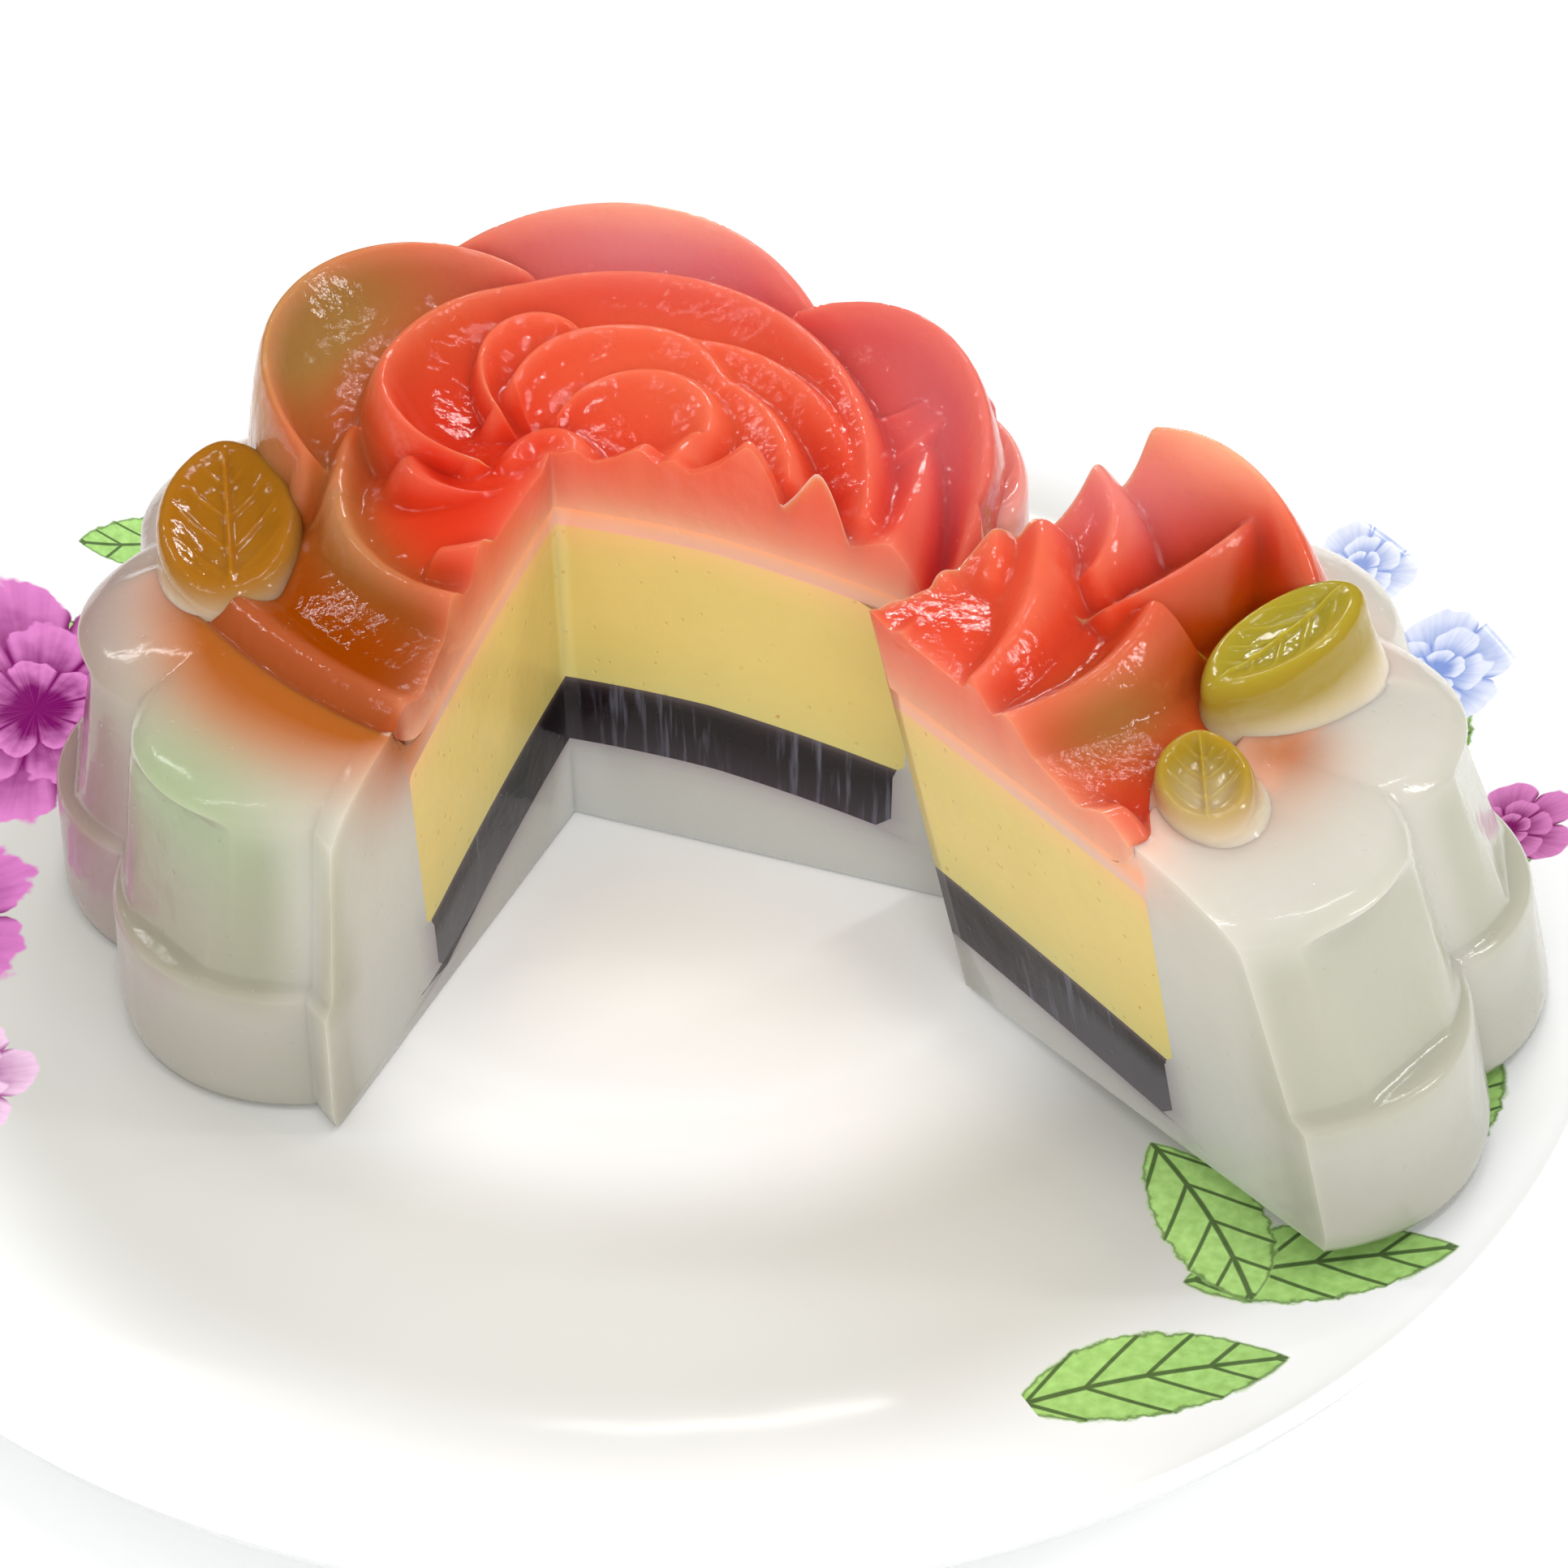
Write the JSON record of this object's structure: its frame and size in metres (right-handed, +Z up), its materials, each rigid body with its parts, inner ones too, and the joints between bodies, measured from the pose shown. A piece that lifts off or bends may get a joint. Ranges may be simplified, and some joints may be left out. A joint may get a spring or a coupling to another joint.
{
  "type": "layered moulded jelly on a plate",
  "caption": "Layered agar jelly turned out of a fluted rose mould, cut open with a wedge pulled out beside it, on a round glazed plate.",
  "frame": {"origin": "middle of the plate's foot, on the table", "axes": "+Z up, -Y towards the open side of the jelly, +X towards the pulled-out wedge"},
  "size_m": [0.19, 0.19, 0.0552],
  "materials": {
    "porcelain": "white glazed porcelain with a floral rim",
    "coconut_jelly": "cloudy white jelly, wet",
    "coffee_jelly": "near black jelly, wet",
    "custard_jelly": "opaque yellow custard jelly",
    "rose_jelly": "clear coral red jelly, wet",
    "leaf_jelly": "clear olive jelly, wet",
    "pink_leaf_jelly": "clear pink jelly, wet"
  },
  "bodies": {
    "root": {"plate": "porcelain", "main_coconut_shell": "coconut_jelly", "main_coffee_layer": "coffee_jelly", "main_custard": "custard_jelly", "main_rose": "rose_jelly", "main_leaf_left": "leaf_jelly", "main_leaf_right": "pink_leaf_jelly", "slice_coconut_shell": "coconut_jelly", "slice_coffee_layer": "coffee_jelly", "slice_custard": "custard_jelly", "slice_rose": "rose_jelly", "slice_leaf_large": "leaf_jelly", "slice_leaf_small": "leaf_jelly"}
  },
  "joints": []
}
